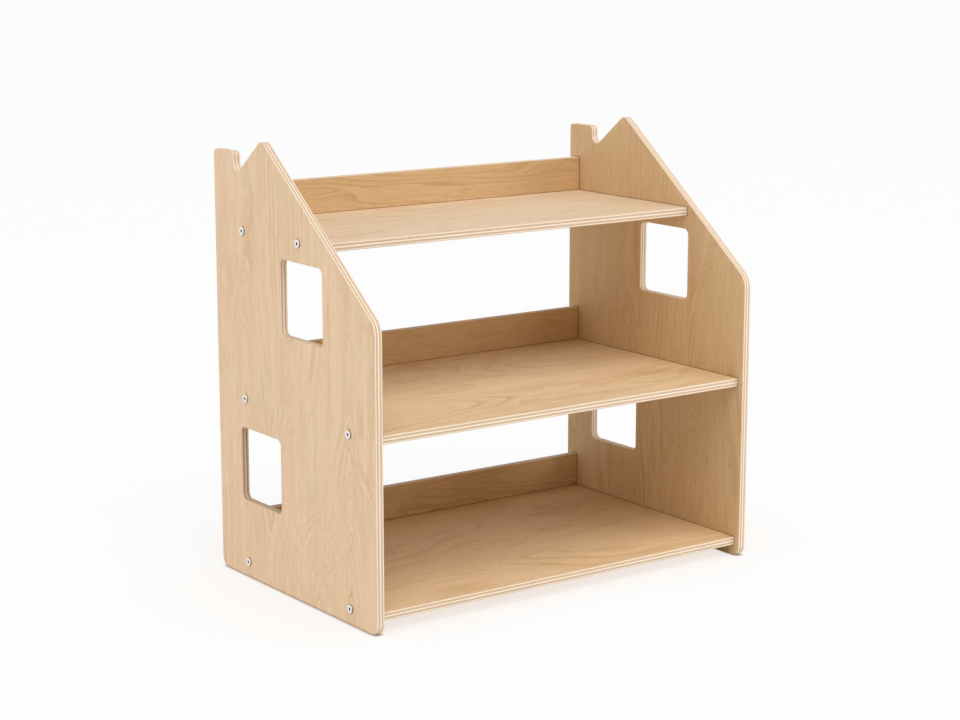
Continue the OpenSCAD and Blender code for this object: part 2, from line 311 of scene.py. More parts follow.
class Studio(bpy.types.PropertyGroup):
    """Floor, light and camera."""

    floor_size: length("Floor size", 60.0, "Width of the square floor")
    floor_colour: colour("Floor colour", (0.90, 0.895, 0.89), "Colour of the floor")
    floor_glow: share("Floor whiteness", 0.88, "Share of plain white that the camera sees")
    # Painted shadow on the floor: a dark contact line right under the shelf and soft shade beside
    # it
    contact_colour: colour("Contact colour", (0.16, 0.09, 0.05), "Floor right under the shelf")
    contact_reach: length("Contact reach", 0.006, "Reach of the line where the shelf stands")
    shade_colour: colour("Shade colour", (0.95, 0.87, 0.80), "Floor beside and below the shelf")
    shade_reach: length("Shade reach", 0.28, "Reach of the soft shade round the shelf")
    sky_level: number("Sky level", 0.38, "Strength of the even light from all round")
    aim: spot("Aim", (0.0, 0.0, 0.3), "Point that the key and the side lamp face")
    key_strength: number("Key", 1.80, "Strength of the broad light from the upper front")
    key_softness: angle("Key softness", 45.0, "Width of the broad light as the shelf sees it")
    key_place: spot("Key place", (-0.7, -1.9, 3.8), "Point that the broad light comes from")
    side_power: number("Side power", 24.5, "Power of the lamp level with the left side")
    side_place: spot("Side place", (-3.2, 0.1, 0.9), "Where the lamp on the left stands")
    fill_power: number("Fill power", 32.0, "Power of the lamp at the right front")
    fill_place: spot("Fill place", (2.3, -2.3, 1.6), "Where the lamp at the right front stands")
    fill_aim: spot("Fill aim", (0.0, 0.0, 0.2), "Point that the lamp at the right front faces")
    lamp_size: length("Lamp size", 1.6, "Width of the two square lamps")
    lens: number("Lens", 83.25, "Focal length for a 36 mm wide picture", 10.0)
    yaw: angle("Yaw", 35.74, "Turn of the camera from straight ahead towards the right")
    pitch: angle("Pitch", 11.47, "Tilt of the camera below the horizon")
    place: spot("Camera place", (-1.794, -2.479, 0.913), "Where the camera stands")


class ToyShelfSettings(bpy.types.PropertyGroup):
    """All settings of the toy shelf."""

    outline: part(HouseOutline, "House outline", "Sizes of the side panels")
    screws: part(ScrewSizes, "Screws", "Sizes of the screws")
    plywood: part(PlywoodFinish, "Plywood", "Finish of the boards")
    steel: part(SteelFinish, "Steel", "Finish of the screws")
    studio: part(Studio, "Studio", "Floor, light and camera")


# Shapes


def rounded_loop(corners, radii, steps):
    """Closed outline whose corners are arcs.

    Where the path turns by an angle a, the arc of radius r touches both sides at r times the
    tangent of a / 2 from the corner, and its middle lies r to the side of the turn. Returns
    points in equal steps of angle, and the directions to the right of the path, which is out of
    wood that lies to the left.
    """
    points, normals = [], []
    for i, (corner, radius) in enumerate(zip(corners, radii)):
        arrive = corner - corners[i - 1]
        leave = corners[(i + 1) % len(corners)] - corner
        arrive, leave = arrive / np.linalg.norm(arrive), leave / np.linalg.norm(leave)
        turn = math.atan2(arrive[0] * leave[1] - arrive[1] * leave[0], arrive @ leave)
        side = math.copysign(1.0, turn)
        right = np.array([arrive[1], -arrive[0]])
        middle = corner - arrive * radius * math.tan(abs(turn) / 2) - right * radius * side
        t = np.linspace(0.0, turn, steps + 1)
        turned = np.stack([right[0] * np.cos(t) - right[1] * np.sin(t),
                           right[0] * np.sin(t) + right[1] * np.cos(t)], axis=1)
        points.append(middle + turned * radius * side)
        normals.append(turned)
    return np.concatenate(points), np.concatenate(normals)


class Skin:
    """Collects grids and fills that share borders, and welds them into one closed mesh."""

    def __init__(self):
        self.points, self.normals, self.marks, self.faces, self.count = [], [], [], [], 0

    def add(self, points, normals, faces, mark):
        """Adds points, their surface directions, faces as rows of indices, and one mark for all."""
        self.points.append(points)
        self.normals.append(np.broadcast_to(normals, points.shape))
        self.marks.append(np.full(len(points), mark))
        self.faces.append(faces + self.count)
        self.count += len(points)

    def add_grid(self, points, normals, mark):
        """Adds a grid of shape (around, along, 3) that closes on itself around."""
        index = np.arange(points[..., 0].size).reshape(points.shape[:2])
        after = np.roll(index, -1, axis=0)
        faces = np.stack([index[:, :-1], after[:, :-1], after[:, 1:], index[:, 1:]], axis=-1)
        self.add(points.reshape(-1, 3), normals.reshape(-1, 3), faces.reshape(-1, 4), mark)

    def add_fill(self, loops, depth, outward):
        """Fills a flat outline with holes at one depth, facing up or down the third axis."""
        flat = np.concatenate(loops)
        polygons = [[Vector((p[0], p[1], 0.0)) for p in loop] for loop in loops]
        triangles = np.array(tessellate_polygon(polygons))
        a, b, c = (flat[triangles[:, k]] for k in range(3))
        area = (b[:, 0] - a[:, 0]) * (c[:, 1] - a[:, 1]) - (b[:, 1] - a[:, 1]) * (c[:, 0] - a[:, 0])
        turned = area * outward < 0
        triangles[turned] = triangles[turned][:, ::-1]
        points = np.column_stack([flat, np.full(len(flat), depth)])
        self.add(points, np.array([0.0, 0.0, outward]), triangles, 0.0)

    def mesh(self, name, axes, origin):
        """Welds the patches, turns their axes into the rows of axes and moves them to an origin."""
        local, shading = np.concatenate(self.points), np.concatenate(self.normals)
        keys = np.round(local / WELD_STEP).astype(np.int64)
        _, first, index = np.unique(keys, axis=0, return_index=True, return_inverse=True)
        turn = np.array(axes)
        mesh = bpy.data.meshes.new(name)
        faces = [face for part in self.faces for face in index.ravel()[part].tolist()]
        mesh.from_pydata((local[first] @ turn + np.array(origin)).tolist(), [], faces)
        corners = np.concatenate([part.ravel() for part in self.faces])
        mesh.normals_split_custom_set((shading[corners] @ turn).tolist())
        kept = mesh.attributes.new(ROUTED, "FLOAT", "POINT")
        kept.data.foreach_set("value", np.concatenate(self.marks)[first].astype(np.float32))
        mesh.update()
        return mesh


def eased_edge(loop, normals, thickness, radius):
    """Edge of a board: a profile of two quarter circles carried along a loop.

    The profile runs from the lower face to the upper one. At profile angle a the loop is drawn
    in along its own directions by r (1 - sin a), and lies r (1 - cos a) inside the face.
    """
    a = np.linspace(0.0, FULL_TURN / 4, EASE_POINTS)
    inset = radius * (1 - np.sin(a))
    height = thickness / 2 - radius * (1 - np.cos(a))
    inset = np.concatenate([inset, inset[::-1]])
    height = np.concatenate([-height, height[::-1]])
    out = np.concatenate([np.sin(a), np.sin(a)[::-1]])
    up = np.concatenate([-np.cos(a), np.cos(a)[::-1]])
    points = np.empty((len(loop), len(inset), 3))
    points[..., :2] = loop[:, None] - normals[:, None] * inset[None, :, None]
    points[..., 2] = height
    directions = np.empty_like(points)
    directions[..., :2] = normals[:, None] * out[None, :, None]
    directions[..., 2] = up
    return points, directions


def bore(centre, radius, thickness):
    """Straight bore: a circle carried through the thickness, whose surface faces its own middle.
    Returns points and directions."""
    t = np.linspace(0.0, FULL_TURN, BORE_STEPS, endpoint=False)
    ring = np.stack([np.cos(t), np.sin(t)], axis=1)[::-1]
    points = np.empty((BORE_STEPS, 2, 3))
    points[..., :2] = (centre + ring * radius)[:, None]
    points[..., 2] = -thickness / 2, thickness / 2
    directions = np.zeros_like(points)
    directions[..., :2] = -ring[:, None]
    return points, directions


def house_loops(front, rear, outline):
    """Loops of a side panel, as depth and height: the house, whose roof rises from the eaves to
    the ridge and falls to the notch at one pitch, then the upper and the lower window."""
    slope = math.tan(outline.roof_pitch)
    ridge = front + outline.ridge_setback, outline.eaves_height + outline.ridge_setback * slope
    chimney = rear - outline.chimney_depth
    notch = ridge[1] - (chimney - ridge[0]) * slope
    top = notch + outline.chimney_rise
    corners = np.array([(front, 0), (rear, 0), (rear, top), (chimney, top), (chimney, notch),
                        ridge, (front, outline.eaves_height)])
    radii = (outline.foot_radius, outline.foot_radius, outline.chimney_radius,
             outline.chimney_radius, outline.notch_radius, outline.ridge_radius,
             outline.eaves_radius)
    loops = [rounded_loop(corners, radii, outline.arc_steps)]
    half = np.array([outline.window_width, outline.window_height]) / 2
    clockwise = np.array([(-1, -1), (-1, 1), (1, 1), (1, -1)])
    for setback, sill, shelf in (
            (outline.upper_window_setback, outline.upper_window_sill, "shelf_middle"),
            (outline.lower_window_setback, outline.lower_window_sill, "shelf_bottom")):
        middle = np.array([front + setback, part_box(shelf)[1].z + sill + half[1]])
        loops.append(rounded_loop(middle + clockwise * half, [outline.window_radius] * 4,
                                  outline.arc_steps))
    return loops


def side_panel_mesh(name, side, outline, screws):
    """Side panel: the house outline and its windows with eased edges, and six screw holes.

    The first axis is depth, the second height and the third thickness, as in PANEL_AXES.
    """
    low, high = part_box("side_panel_" + side)
    thickness = high.x - low.x
    skin = Skin()
    lower, upper = [], []

    def add_wall(points, directions, mark):
        skin.add_grid(points, directions, mark)
        lower.append(points[:, 0, :2])
        upper.append(points[:, -1, :2])

    loops = house_loops(low.y, high.y, outline)
    for (loop, normals), routed in zip(loops, (0.0, *REVEALS[side])):
        add_wall(*eased_edge(loop, normals, thickness, outline.edge_radius), routed)
    for level, end in itertools.product(LEVELS, ENDS):
        a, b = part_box(f"connector_{level}_{side}_{end}")
        centre = np.array([(a.y + b.y) / 2, (a.z + b.z) / 2])
        add_wall(*bore(centre, screws.shank / 2 + screws.play, thickness), 0.0)
    skin.add_fill(lower, -thickness / 2, -1.0)
    skin.add_fill(upper, thickness / 2, 1.0)
    return skin.mesh(name, PANEL_AXES, ((low.x + high.x) / 2, 0.0, 0.0))


def hexagon_radius(t, width):
    """Distance from the middle of a hexagon to its side: half the width over the flats, divided
    by the cosine of the angle to the middle of the nearest side."""
    sixth = FULL_TURN / 6
    return width / 2 / np.cos((t + sixth / 2) % sixth - sixth / 2)


def cross_radius(t, width, span):
    """Distance from the middle of a cross to its edge: the nearer of the slot's end, half the span
    over the cosine of the angle to the slot, and its side, half the width over the sine, which
    is kept off zero."""
    quarter = FULL_TURN / 4
    off = (t + quarter / 2) % quarter - quarter / 2
    ends = span / 2 / np.cos(off)
    sides = width / 2 / np.maximum(np.abs(np.sin(off)), 1e-6)
    return np.minimum(ends, sides)


def thread_rows(t, start, stop, core, sizes):
    """Thread as a surface of the turn t and the way down the screw: a sharp crest on the core that
    climbs by one pitch a turn, grows over the first pitch and fades over the last one."""
    pitch = sizes.thread_pitch
    steps = int(round((stop - start) / pitch * THREAD_STEPS)) + 1
    way = np.linspace(start, stop, steps)[:, None]
    phase = ((way - start) / pitch - t / FULL_TURN) % 1.0
    crest = np.clip(1.0 - np.abs(phase - 0.5) / CREST_SHARE, 0.0, 1.0)
    swell = np.clip(np.minimum(way - start, stop - way) / pitch, 0.0, 1.0)
    return core + sizes.thread_depth * crest * swell, np.broadcast_to(way, (steps, len(t)))


def shank_rows(t, shank, neck, run, sizes):
    """Rows of a screw below its head: the end of the smooth neck, the thread and the tip."""
    core = shank / 2 - sizes.thread_depth
    thread_stop = run - sizes.tip
    radius, way = thread_rows(t, neck, thread_stop, core, sizes)
    return ((shank / 2, neck - (shank / 2 - core)), *zip(radius, way),
            (core * TIP_SHARE, thread_stop + sizes.tip * TIP_SHARE), (0.0, run))


def connector_rows(t, run, head, sizes):
    """Rows of a connector screw, as radius and way, from the middle of its recess to its tip: a
    straight hexagon socket, a flat bevelled head that stands on the side panel, and a neck as
    long as that panel is thick."""
    low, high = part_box("side_panel_left")
    thickness = high.x - low.x
    stands_out = low.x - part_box("connector_top_left_front")[0].x
    wall = hexagon_radius(t, sizes.socket_width)
    mouth = sizes.socket_width / math.sqrt(3) + 2 * sizes.rim
    deep, corner = sizes.socket_depth, 3 * sizes.rim
    rim, bevel = head / 2, sizes.head_bevel
    return ((0.0, deep), (wall * SOCKET_FLOOR, deep - sizes.rim), (wall, deep - corner),
            (wall, corner), (mouth, 0.0),
            (rim - bevel, 0.0), (rim - bevel * BEVEL_SHARE, bevel * BEVEL_SHARE), (rim, bevel),
            (rim, stands_out), (sizes.shank / 2, stands_out),
            *shank_rows(t, sizes.shank, stands_out + thickness, run, sizes))


def rail_screw_rows(t, run, head, sizes):
    """Rows of a rail screw, as radius and way, from the middle of its recess to its tip: a cross
    recess whose slots narrow with depth, a head countersunk at 90 degrees, and a neck as long as
    the rail is thick."""
    low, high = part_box("rail_top")
    wall = cross_radius(t, sizes.cross_width, sizes.cross_span)
    mouth = sizes.cross_span / 2 + 2 * sizes.rim
    rim, soft = head / 2, sizes.rim
    return ((0.0, sizes.cross_depth),
            *((wall * width, sizes.cross_depth * depth) for width, depth in CROSS_TAPER),
            (wall, soft), (wall + soft / 2, 0.0), (mouth, 0.0),
            (rim - 2 * soft, 0.0), (rim - soft, soft * BEVEL_SHARE), (rim, soft),
            (sizes.rail_shank / 2, (head - sizes.rail_shank) / 2),
            *shank_rows(t, sizes.rail_shank, min(high - low), run, sizes))


def screw_mesh(name, axes, origin, rows, t):
    """Closed surface of revolution from rows of (radius, way), each a number or one value for
    every turn t. The first and last rows are the poles. The attribute TURNED keeps the screw's
    own coordinates for the marks in the steel."""
    radius = np.stack([np.broadcast_to(r, t.shape) for r, _ in rows])
    way = np.stack([np.broadcast_to(w, t.shape) for _, w in rows])
    grid = np.stack([radius * np.cos(t), radius * np.sin(t), way], axis=-1)
    inner = grid[1:-1].reshape(-1, 3)
    points = np.concatenate([inner, grid[:1, 0], grid[-1:, 0]])
    index = np.arange(len(inner)).reshape(-1, len(t))
    after = np.roll(index, -1, axis=1)
    first = np.full(len(t), len(inner))
    quads = np.stack([index[:-1], after[:-1], after[1:], index[1:]], axis=-1).reshape(-1, 4)
    caps = (np.stack([first, after[0], index[0]], axis=1),
            np.stack([index[-1], after[-1], first + 1], axis=1))
    faces = quads.tolist() + caps[0].tolist() + caps[1].tolist()
    mesh = bpy.data.meshes.new(name)
    mesh.from_pydata((points @ np.array(axes) + np.array(origin)).tolist(), [], faces)
    mesh.shade_smooth()
    mesh.set_sharp_from_angle(angle=SHARP_ANGLE)
    kept = mesh.attributes.new(TURNED, "FLOAT_VECTOR", "POINT")
    kept.data.foreach_set("vector", points.astype(np.float32).ravel())
    return mesh


# Finishes


class Wire:
    """Output of a node. Sums, products and the like of wires and numbers are Math nodes."""

    def __init__(self, wiring, socket):
        self.wiring, self.socket = wiring, socket

    def __add__(self, other):
        return self.wiring.maths("ADD", self, other)

    def __sub__(self, other):
        return self.wiring.maths("SUBTRACT", self, other)

    def __rsub__(self, other):
        return self.wiring.maths("SUBTRACT", other, self)

    def __mul__(self, other):
        return self.wiring.maths("MULTIPLY", self, other)

    def __truediv__(self, other):
        return self.wiring.maths("DIVIDE", self, other)

    def __abs__(self):
        return self.wiring.maths("ABSOLUTE", self)


class Wiring:
    """Adds nodes to one node tree. A value is a wire, a number, a tuple or a colour."""

    def __init__(self, tree):
        self.tree = tree

    def put(self, kind, inputs, **settings):
        """Adds a node. Returns its wires, by name and by number."""
        node = self.tree.nodes.new(kind)
        for name, value in settings.items():
            setattr(node, name, value)
        for key, value in inputs.items():
            socket = node.inputs[key]
            if isinstance(value, Wire):
                self.tree.links.new(value.socket, socket)
            else:
                socket.default_value = (*value, 1.0) if socket.type == "RGBA" else value
        column = len(self.tree.nodes)
        node.location = (column // NODE_ROWS * NODE_STEP, -(column % NODE_ROWS) * NODE_STEP)
        wires = [Wire(self, socket) for socket in node.outputs]
        return {**{wire.socket.name: wire for wire in wires}, **dict(enumerate(wires))}

    def maths(self, operation, *values):
        return self.put("ShaderNodeMath", dict(enumerate(values)), operation=operation)[0]

    def vector(self, operation, *values):
        """Vector worked out by a Vector Math node, or a length."""
        wires = self.put("ShaderNodeVectorMath", dict(enumerate(values)), operation=operation)
        return wires["Value" if operation == "LENGTH" else "Vector"]

    def split(self, vector):
        wires = self.put("ShaderNodeSeparateXYZ", {"Vector": vector})
        return wires["X"], wires["Y"], wires["Z"]

    def combine(self, x, y, z):
        return self.put("ShaderNodeCombineXYZ", {"X": x, "Y": y, "Z": z})["Vector"]

    def noise(self, vector, scale, detail=2.0, roughness=0.5):
        """Smooth noise around one half."""
        return self.put("ShaderNodeTexNoise", {
            "Vector": vector, "Scale": scale, "Detail": detail, "Roughness": roughness})["Fac"]

    def grain(self, point, rate, stretch, detail, roughness):
        """Noise at a point whose second axis runs along the grain, drawn out that way."""
        drawn_out = self.vector("MULTIPLY", point, (1.0, stretch, 1.0))
        return self.noise(drawn_out, rate, detail, roughness)

    def ease(self, value, low, high, start=0.0, stop=1.0):
        """Smooth step from start to stop as the value goes from low to high."""
        inputs = {"Value": value, "From Min": low, "From Max": high, "To Min": start,
                  "To Max": stop}
        return self.put("ShaderNodeMapRange", inputs, interpolation_type="SMOOTHSTEP")["Result"]

    def blend(self, factor, a, b, how="MIX"):
        """Colour between a and b."""
        return self.put("ShaderNodeMix", {"Factor": factor, 6: a, 7: b}, data_type="RGBA",
                        blend_type=how)[2]

    def between(self, factor, a, b):
        """Number between a and b."""
        return self.put("ShaderNodeMix", {"Factor": factor, 2: a, 3: b})[0]

    def bump(self, height, strength, depth):
        """Normal of a surface with a height."""
        return self.put("ShaderNodeBump", {"Strength": strength, "Distance": depth,
                                           "Height": height})["Normal"]


def label(name):
    return name.replace("_", " ").capitalize()


def group_node(w, build, **values):
    """Places the shared node group that a function describes. The function's parameters are the
    group's inputs with their defaults, and it returns the outputs by name. Returns the wires of
    the node."""
    name = label(build.__name__)
    tree = bpy.data.node_groups.get(name)
    if tree is None:
        tree = bpy.data.node_groups.new(name, "ShaderNodeTree")
        inner = Wiring(tree)
        inputs = {key: parameter.default
                  for key, parameter in inspect.signature(build).parameters.items() if key != "w"}
        for key, default in inputs.items():
            kind = "NodeSocketVector" if isinstance(default, tuple) else "NodeSocketFloat"
            socket = tree.interface.new_socket(label(key), in_out="INPUT", socket_type=kind)
            socket.default_value = default
        given = inner.put("NodeGroupInput", {})
        outputs = build(inner, **{key: given[label(key)] for key in inputs})
        for key, wire in outputs.items():
            kind = "NodeSocketVector" if wire.socket.type == "VECTOR" else "NodeSocketFloat"
            tree.interface.new_socket(key, in_out="OUTPUT", socket_type=kind)
        inner.put("NodeGroupOutput", outputs)
    return w.put("ShaderNodeGroup", {label(key): value for key, value in values.items()},
                 node_tree=tree)


def ply_layers(w, point=ORIGIN, direction=ORIGIN, thickness=0.012, plies=5.0, cross_share=0.5,
               glue_width=0.0003, seed=0.0, layer_shift=3.71, border_rate=40.0,
               border_height=0.0007, soft_border=0.00008, edge_below=0.45, face_above=0.85):
    """Veneers of a plywood board, by the depth of a point below its face.

    The height is the depth in veneers, with slightly uneven borders. Every second veneer lies
    across the others, so across and along change places in it. The middles of these cross
    veneers lie at heights 1.5, 3.5 and so on, and they are as thick as the cross share of a
    veneer. End grain shows where the surface faces along the fibres, and a glue line at the
    borders of a cross veneer. The eased mask is four times the share of facing along the
    thickness, times one minus that share.
    """
    across, along, through = w.split(point)
    uneven = (w.noise(point, border_rate, 3.0) - 0.5) * border_height
    veneer = thickness / plies
    height = (through + uneven + thickness * 0.5) / veneer
    off = w.maths("PINGPONG", height - 1.5, 1.0)
    half_cross = cross_share * 0.5
    soft = soft_border / veneer
    cross = w.ease(off, half_cross - soft, half_cross + soft, 1.0, 0.0)
    plain_number = w.maths("FLOOR", height * 0.5 + 0.25) * 2.0
    cross_number = w.maths("FLOOR", height * 0.5 - 0.25) * 2.0 + 1.0
    layer = w.between(w.maths("GREATER_THAN", cross, 0.5), plain_number, cross_number)
    fibre = w.combine(w.between(cross, across, along), w.between(cross, along, across), through)
    shift = layer * layer_shift + seed
    facing = w.split(direction)
    flat = abs(facing[2])
    from_border = abs(off - half_cross) * veneer
    return {
        "Fibre point": w.vector("ADD", fibre, w.combine(shift, shift, shift)),
        "Layer": layer,
        "Cross": cross,
        "End grain": abs(w.between(cross, facing[1], facing[0])),
        "Glue": w.ease(from_border, glue_width * 0.5, glue_width, 1.0, 0.0),
        "Face": w.ease(flat, edge_below, face_above),
        "Eased": flat * (1.0 - flat) * 4.0,
    }


def arch(w, point=ORIGIN, tip=ORIGIN, half_width=0.02, behind=0.1, rings=10.0, bluntness=0.30,
         lean=0.45, fall=-0.8):
    """One arched figure: rings that nest behind a tip, as where a saw meets a bulge of the trunk.

    The height is the number of rings, times a ramp along the board, times a peak across it. The
    spread is the distance from the axis over the half width, with a blunt point. The ramp is
    one minus e to the power of minus x, and never below zero, where x is the way behind the tip
    over the length behind, less the spread times the lean. The peak is e to the power of the
    spread times the fall.
    """
    across, along, _ = w.split(w.vector("SUBTRACT", point, tip))
    over = across / half_width
    spread = w.maths("SQRT", over * over + bluntness * bluntness) - bluntness
    ahead = spread * lean + along / behind
    ramp = 1.0 - w.maths("EXPONENT", w.maths("MINIMUM", ahead, 0.0))
    return {"Rings": ramp * rings * w.maths("EXPONENT", spread * fall)}


def growth_rings(w, point=ORIGIN, scale=1.0, wander=6.0, arches=0.0, seed=0.0, seed_shift=1.37,
                 waver_rate=8.0, waver_spread=0.35, waver_reach=0.014, narrow_rings=2.0,
                 ripple_rings=0.7, rise=0.50, least=0.3, fine_lines=3.0, fine_share=0.5,
                 faint=0.25, faint_below=0.34, strong_above=0.66):
    """Growth lines of a veneer: the level lines of a smooth height.

    The height is a broad figure times the wander, plus the arches, a narrow figure and a ripple
    times their rings, and the place across wavers along the board. Each ring darkens slowly to
    a thin line of random strength and falls back sharply. Fine lines come several to a ring,
    and all are faint between some strong patches. The shade is a random tint of a whole ring.
    """
    across, along, _ = w.split(point)
    across = across * scale
    shift = seed * seed_shift
    course = w.noise(w.combine(across * waver_spread, along, shift), waver_rate, detail=1.0,
                     roughness=0.4)
    point = w.combine(across + (course - 0.5) * waver_reach, along, shift)

    def ring_value(height, offset):
        """Random number of the ring at a height."""
        return w.put("ShaderNodeTexWhiteNoise", {"W": w.maths("FLOOR", height) + offset},
                     noise_dimensions="1D")["Value"]

    def line(height, crest, fall):
        """Mask of a line in each ring, which is full from the crest to the fall."""
        place = w.maths("FRACT", height)
        return w.ease(place, rise, crest) * w.ease(place, fall, 1.0, 1.0, 0.0)

    height = (w.grain(point, *BROAD) * wander + arches + w.grain(point, *NARROW) * narrow_rings
              + w.grain(point, *RIPPLE) * ripple_rings)
    finer = height * fine_lines
    strength = ring_value(height, 0.5) * (1.0 - least) + least
    main = line(height, crest=0.92, fall=0.94) * strength
    fine = line(finer, crest=0.90, fall=0.92) * ring_value(finer, 0.25)
    presence = w.ease(w.grain(point, *PATCHES), faint_below, strong_above, faint, 1.0)
    return {"Line": (fine * fine_share + main) * presence,
            "Shade": ring_value(height, 0.75) - 0.5}


def joint(w, point=ORIGIN, middle=ORIGIN, half_size=ORIGIN, width=0.002, core=0.3):
    """Painted contact shade: a dark line where a board meets a box, another board or the floor.

    The distance to the box is the length of the part of |point - middle| that is beyond the
    half size. The line is full up to the core share of its width, and fades over the rest.
    """
    off = w.vector("ABSOLUTE", w.vector("SUBTRACT", point, middle))
    beyond = w.vector("MAXIMUM", w.vector("SUBTRACT", off, half_size), ORIGIN)
    return {"Line": w.ease(w.vector("LENGTH", beyond), width * core, width, 1.0, 0.0)}


def birch_fibre(w, fibre_point=ORIGIN, fleck_relief=-0.6):
    """Fibres along the grain: a mask of each noise in FIBRES, the streaks' values as the tooth of
    the surface, and its relief, from which the flecks are taken off."""
    values = {name: w.grain(fibre_point, *noise) for name, (noise, _) in FIBRES.items()}
    masks = {name: w.ease(values[name], *ends) for name, (_, ends) in FIBRES.items()}
    return {**masks, "Tooth": values["Streak"],
            "Relief": masks["Fleck"] * fleck_relief + values["Streak"]}


def turned_steel(w, point=ORIGIN, rate=5200.0, slant=0.02, dull_rate=420.0, dull_from=0.35,
                 dull_to=0.75, shade_from=0.00030, shade_to=0.00055):
    """Turned and plated steel: fine rings round the axis, soft dull patches, and shade on
    everything deeper than the face of the head."""
    x, y, z = w.split(point)
    run = w.combine(w.vector("LENGTH", w.combine(x, y, 0.0)) + z, x * slant, y * slant)
    return {"Groove": w.noise(run, rate, 2.0, 0.6),
            "Dull": w.ease(w.noise(point, dull_rate, 3.0, 0.6), dull_from, dull_to),
            "Deep": w.ease(z, shade_from, shade_to)}


def new_material(name):
    material = bpy.data.materials.new(name)
    material.use_nodes = True
    material.node_tree.nodes.clear()
    return material, Wiring(material.node_tree)


def face_colour(w, fibre, rings, finish):
    """Colour of a veneer's face: pale wood in pinkish and yellowish bands, on which the growth
    lines, the streaks, the short fibres and the flecks are dark."""
    face = w.blend(fibre["Band"], finish.rose, finish.straw)
    face = w.blend(fibre["Drift"], face, finish.light)
    tint = rings["Shade"] * RING_TINT + MEAN_TINT
    for mask in (rings["Line"] * finish.ring_strength + tint,
                 fibre["Streak"] * finish.streak_strength,
                 fibre["Short"] * finish.short_strength,
                 fibre["Fleck"] * finish.fleck_strength):
        face = w.blend(mask, face, finish.dark)
    return face


def edge_colour(w, layers, fibre, finish):
    """Colour of a board's edge: pale side grain, darker end grain and cross veneers, streaks,
    unsanded wood with painted shade inside the windows, and the glue lines."""
    cross = layers["Cross"]
    inside = w.put("ShaderNodeAttribute", {}, attribute_name=ROUTED)["Fac"]
    edge = w.blend(layers["End grain"] * END_SHADE + cross * CROSS_SHADE, finish.side_grain,
                   finish.end_grain)
    edge = w.blend(fibre["Streak"] * finish.streak_strength * STREAK_SHADE, edge, finish.dark)
    # Unsanded wood and painted shade inside the windows
    edge = w.blend(inside * (cross * RAW_CROSS + RAW_SHADE), edge, finish.routed)
    return w.blend(layers["Glue"] * GLUE_SHADE, edge, finish.glue)


def joint_lines(w, point, foot, touching, finish):
    """Mask of the painted contact shade: dark lines along the joints with the boards that touch
    this one, and along its foot where that is on the floor."""
    boxes = [(*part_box(other), finish.joint_width) for other in touching]
    if foot < finish.foot_width:
        boxes.append((*GROUND, finish.foot_width))
    lines = 0.0
    for low, high, width in boxes:
        line = group_node(w, joint, point=point, middle=(low + high) / 2,
                          half_size=(high - low) / 2, width=width)["Line"]
        lines = w.maths("MAXIMUM", lines, line)
    return lines


def plywood_material(name, board, axes, touching, finish):
    """Plywood of one board, in the board's own axes from its middle: across the grain, along it
    and through the thickness. Dark lines of painted contact shade run along the joints with the
    boards that touch it."""
    material, w = new_material(name)
    seed, scale, tones, arches = FIGURES[board]
    low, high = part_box(board)
    turn = axes.to_euler()
    place = w.put("ShaderNodeTexCoord", {})
    point = w.put("ShaderNodeMapping", {
        "Vector": place["Object"], "Location": -(axes @ ((low + high) / 2)), "Rotation": turn},
        vector_type="POINT")["Vector"]
    direction = w.put("ShaderNodeMapping", {"Vector": place["Normal"], "Rotation": turn},
                      vector_type="VECTOR")["Vector"]
    layers = group_node(w, ply_layers, point=point, direction=direction, seed=seed,
                        thickness=min(high - low), plies=float(finish.plies),
                        cross_share=finish.cross_share, glue_width=finish.glue_width)
    fibre = group_node(w, birch_fibre, fibre_point=layers["Fibre point"])
    height = 0.0
    for across, along, half_width, behind, count_of_rings in arches:
        height = group_node(w, arch, point=point, tip=(across, along, 0.0),
                            half_width=half_width, behind=behind,
                            rings=count_of_rings)["Rings"] + height
    rings = group_node(w, growth_rings, point=point, scale=scale, wander=finish.wander,
                       arches=height, seed=layers["Layer"] * RING_SHIFT + seed)
    # Painted light and shade: the faces at the two ends of the thickness take their own tones
    tone = w.blend(w.maths("GREATER_THAN", w.split(point)[2], 0.0), *tones)
    face = w.blend(1.0, face_colour(w, fibre, rings, finish), tone, "MULTIPLY")
    base = w.blend(layers["Face"], edge_colour(w, layers, fibre, finish), face)
    # Painted shade on the rounded edges
    base = w.blend(layers["Eased"] * finish.rubbed, base, finish.dark)
    # Painted contact shade along the joints and along the foot
    lines = joint_lines(w, place["Object"], low.z, touching, finish)
    base = w.blend(lines * finish.joint_strength, base, finish.joint)
    rough = ((1.0 - layers["Face"]) * EDGE_ROUGHNESS
             + ((fibre["Tooth"] - 0.5) * STREAK_ROUGHNESS + finish.roughness))
    relief = rings["Line"] * LINE_RELIEF + fibre["Relief"] + layers["Glue"] * GLUE_RELIEF
    shader = w.put("ShaderNodeBsdfPrincipled", {
        "Base Color": base, "Roughness": rough, "IOR": 1.46, "Specular IOR Level": 0.15,
        "Normal": w.bump(relief, strength=0.6, depth=finish.relief)})["BSDF"]
    w.put("ShaderNodeOutputMaterial", {"Surface": shader})
    return material


